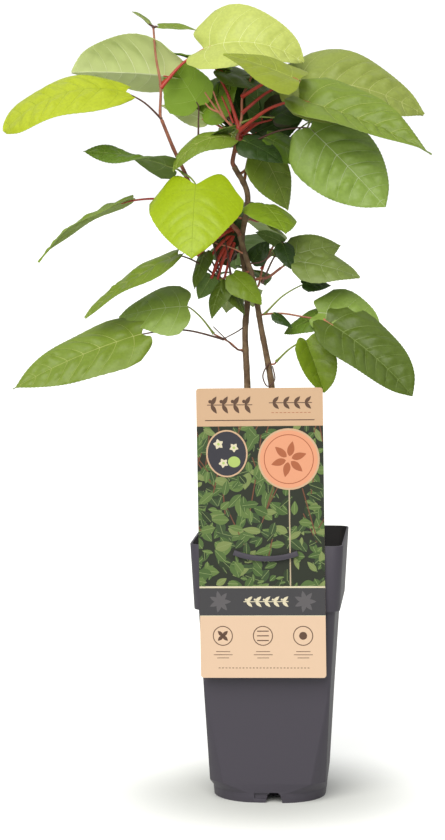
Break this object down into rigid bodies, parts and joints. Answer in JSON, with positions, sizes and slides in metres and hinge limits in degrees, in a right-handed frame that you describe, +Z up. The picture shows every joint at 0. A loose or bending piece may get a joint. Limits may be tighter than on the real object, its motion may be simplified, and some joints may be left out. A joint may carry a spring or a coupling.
{
  "type": "potted kiwi vine",
  "caption": "Young kiwi vine with long-stalked oval leaves, growing in a square tapered nursery pot with a hanging picture label.",
  "frame": {"origin": "middle of the pot's flat underside", "axes": "+Z up along the plant, -Y the side with the picture label, +X to the right when facing the label"},
  "size_m": [0.364, 0.2408, 0.6797],
  "materials": {
    "pot": "moulded grey plastic, satin",
    "soil": "moist crumbly compost",
    "card": "printed plastic sheet, satin",
    "bark": "thin ridged bark, matt",
    "leaf": "soft leaves, slight sheen"
  },
  "bodies": {
    "root": {"pot": "pot", "potting_soil": "soil", "label_card": "card", "stem_left": "bark", "stem_right": "bark", "bough_top": "bark", "bough_left": "bark", "side_shoot_right": "bark", "leaves_left_top": "leaf", "leaves_left_shoot": "leaf", "leaves_left_arm": "leaf", "leaves_crown_top": "leaf", "leaves_crown_right": "leaf", "leaf_front_mid": "leaf", "leaves_core": "leaf", "leaves_left_low": "leaf", "leaves_right_mid": "leaf", "leaves_right_low": "leaf", "leaf_right_foot": "leaf", "leaves_back_top": "leaf", "leaves_back_mid": "leaf", "leaves_back_low": "leaf", "leaves_back_right": "leaf", "leaves_back_foot": "leaf"}
  },
  "joints": []
}
